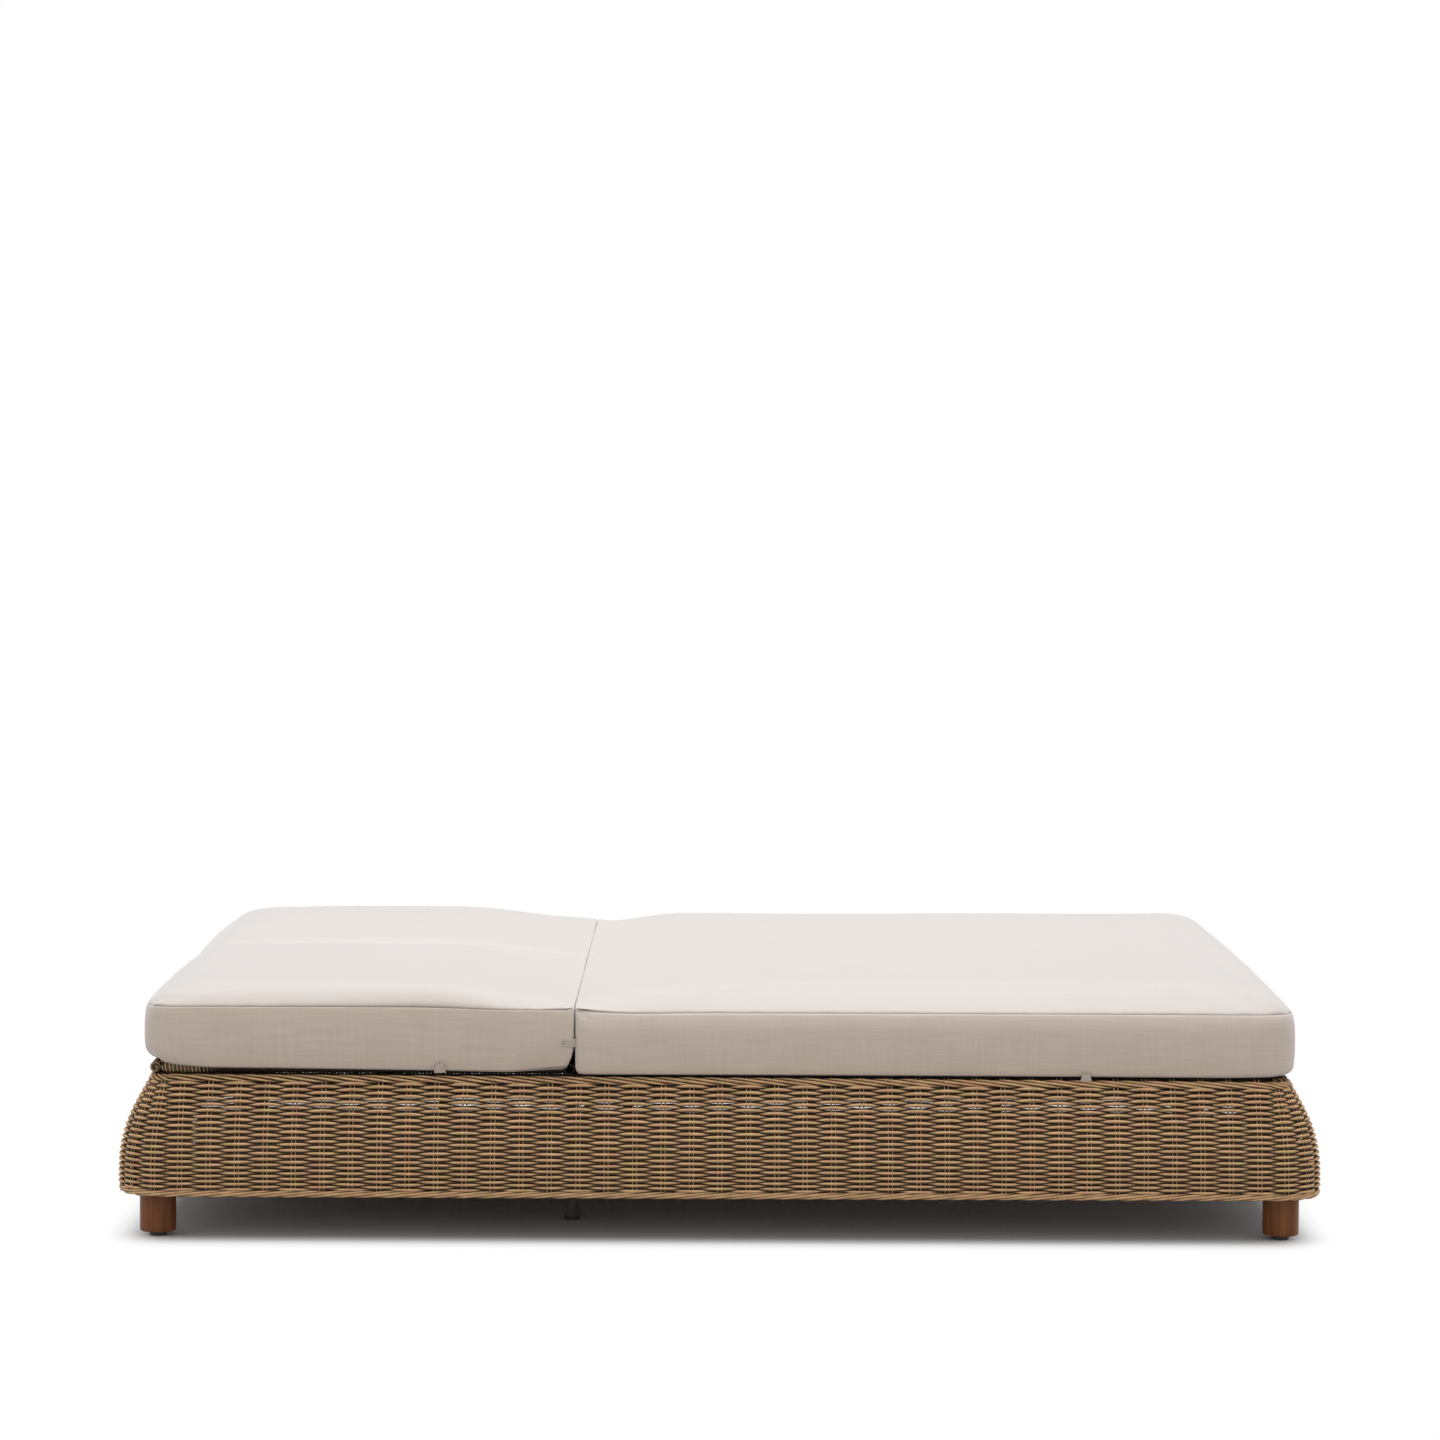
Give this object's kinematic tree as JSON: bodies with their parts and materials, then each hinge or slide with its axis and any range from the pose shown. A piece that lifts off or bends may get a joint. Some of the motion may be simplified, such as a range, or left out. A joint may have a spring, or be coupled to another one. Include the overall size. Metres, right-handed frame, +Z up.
{
  "type": "double sun lounger",
  "caption": "Double sun lounger: flared woven base on wooden legs, a seat cushion and two backs that recline one by one.",
  "frame": {"origin": "on the floor, under the middle of the base", "axes": "+X along the length towards the foot end, -Y towards the near long side, +Z up"},
  "size_m": [2, 1.5, 0.4126],
  "materials": {
    "wicker": "matte",
    "frame": "satin",
    "fittings": "satin",
    "leg_wood": "satin",
    "glide": "matte",
    "cushion_fabric": "matte",
    "tape": "matte"
  },
  "bodies": {
    "base": {"wicker_near_wall": "wicker", "wicker_far_wall": "wicker", "wicker_head_wall": "wicker", "wicker_foot_wall": "wicker", "near_top_rail": "frame", "far_top_rail": "frame", "head_top_rail": "frame", "foot_top_rail": "frame", "near_bottom_rail": "frame", "far_bottom_rail": "frame", "head_bottom_rail": "frame", "foot_bottom_rail": "frame", "bottom_corner_bends": "frame", "corner_posts": "frame", "side_uprights": "frame", "end_uprights": "frame", "hinge_beam": "frame", "rack_beams": "frame", "seat_centre_beam": "frame", "seat_slats": "frame", "leg_plates": "frame", "near_mid_leg": "frame", "far_mid_leg": "frame", "near_head_leg": "leg_wood", "near_foot_leg": "leg_wood", "far_head_leg": "leg_wood", "far_foot_leg": "leg_wood", "leg_bolts": "fittings", "near_hinge_brackets": "fittings", "far_hinge_brackets": "fittings", "bracket_rivets": "fittings", "near_stay_racks": "fittings", "far_stay_racks": "fittings", "leg_glides": "glide", "mid_leg_glides": "glide", "seat_cushion": "cushion_fabric", "seat_cushion_ties": "tape", "cushion_links": "tape"},
    "near_back": {"near_back_head_tube": "wicker", "near_back_outer_tube": "wicker", "near_back_inner_tube": "wicker", "near_back_web": "wicker", "near_back_hinge_tube": "frame", "near_back_cushion": "cushion_fabric", "near_back_cushion_tie": "tape"},
    "near_stay": {"near_stay_arms": "fittings", "near_stay_foot_bar": "fittings", "near_stay_pins": "fittings"},
    "far_back": {"far_back_head_tube": "wicker", "far_back_outer_tube": "wicker", "far_back_inner_tube": "wicker", "far_back_web": "wicker", "far_back_hinge_tube": "frame", "far_back_cushion": "cushion_fabric", "far_back_cushion_tie": "tape"},
    "far_stay": {"far_stay_arms": "fittings", "far_stay_foot_bar": "fittings", "far_stay_pins": "fittings"}
  },
  "joints": [
    {"name": "near_back_recline", "type": "hinge", "parent": "base", "child": "near_back", "pos_m": [-0.25, -0.3465, 0.279], "axis": [0, 1, 0], "range_deg": [0, 60], "deforming": ["near_back_cushion"]},
    {"name": "near_stay_fold", "type": "hinge", "parent": "near_back", "child": "near_stay", "pos_m": [-0.56, -0.3465, 0.279], "axis": [0, 1, 0], "range_deg": [-120, 0]},
    {"name": "far_back_recline", "type": "hinge", "parent": "base", "child": "far_back", "pos_m": [-0.25, 0.3465, 0.279], "axis": [0, 1, 0], "range_deg": [0, 60], "deforming": ["far_back_cushion"]},
    {"name": "far_stay_fold", "type": "hinge", "parent": "far_back", "child": "far_stay", "pos_m": [-0.56, 0.3465, 0.279], "axis": [0, 1, 0], "range_deg": [-120, 0]}
  ],
  "couplings": [
    {"joint": "near_stay_fold", "follows": "near_back_recline", "ratio": -2},
    {"joint": "far_stay_fold", "follows": "far_back_recline", "ratio": -2}
  ]
}
